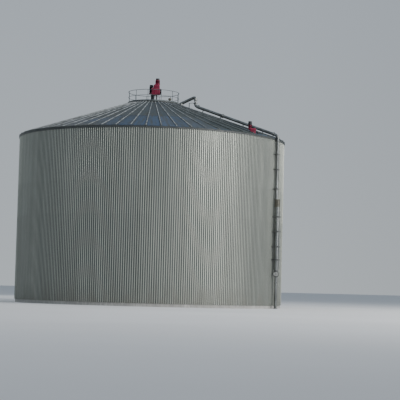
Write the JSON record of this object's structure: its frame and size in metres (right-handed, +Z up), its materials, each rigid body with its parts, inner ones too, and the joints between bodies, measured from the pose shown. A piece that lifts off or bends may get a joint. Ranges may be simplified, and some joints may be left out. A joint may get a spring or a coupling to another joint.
{
  "type": "biogas digester tank",
  "caption": "Upright insulated biogas digester tank with ribbed cladding, a low ribbed cone roof, a railed crown platform with the agitator drive, and a gas pipe down the roof and wall.",
  "frame": {"origin": "middle of the foundation slab's underside, at ground level", "axes": "+Z up along the tank's axis; -Y towards the viewer of the picture; +X to the viewer's right, the side of the gas pipe"},
  "size_m": [26.8102, 26.8102, 22.9812],
  "materials": {
    "cladding": "stucco-embossed ribbed sheet, satin, lightly streaked",
    "roof_sheet": "weathered blue-grey sheet, semi-gloss",
    "roof_rib": "weathered folded strip",
    "flashing": "dark folded edge trim",
    "galvanised": "hot-dip galvanised, dull",
    "stainless": "pickled stainless pipe, satin",
    "red_paint": "machine enamel, slightly dulled",
    "dark_paint": "near-black machine paint",
    "bronze": "dull cast valve metal",
    "concrete": "cast concrete, rough"
  },
  "bodies": {
    "root": {"agitator_gearbox": "red_paint", "agitator_motor": "red_paint", "agitator_motor_cowl": "dark_paint", "agitator_pedestal": "dark_paint", "agitator_shaft": "dark_paint", "crown_cover": "flashing", "downpipe_lower": "stainless", "downpipe_upper": "stainless", "drain_valve": "stainless", "eave_elbow": "stainless", "eave_flashing": "flashing", "edge_drive_base": "red_paint", "edge_drive_cowl": "dark_paint", "edge_drive_gearbox": "red_paint", "edge_drive_motor": "red_paint", "expansion_joint": "bronze", "foot_pipe": "stainless", "foundation_slab": "concrete", "gas_drop_leg": "stainless", "gas_outlet_pipe": "stainless", "guard_rail_01": "galvanised", "guard_rail_02": "galvanised", "guard_rail_03": "galvanised", "guard_rail_04": "galvanised", "platform_deck": "galvanised", "relief_valve": "bronze", "roof_pipe": "stainless", "roof_sector_01": "roof_sheet", "roof_sector_02": "roof_sheet", "roof_sector_03": "roof_sheet", "roof_sector_04": "roof_sheet", "roof_sector_05": "roof_sheet", "roof_sector_06": "roof_sheet", "side_motor": "dark_paint", "side_motor_cowl": "dark_paint", "sight_glass": "dark_paint", "wall_segment_01": "cladding", "wall_segment_02": "cladding", "wall_segment_03": "cladding", "wall_segment_04": "cladding", "wall_segment_05": "cladding", "wall_segment_06": "cladding", "wall_segment_07": "cladding", "wall_segment_08": "cladding"}
  },
  "joints": []
}
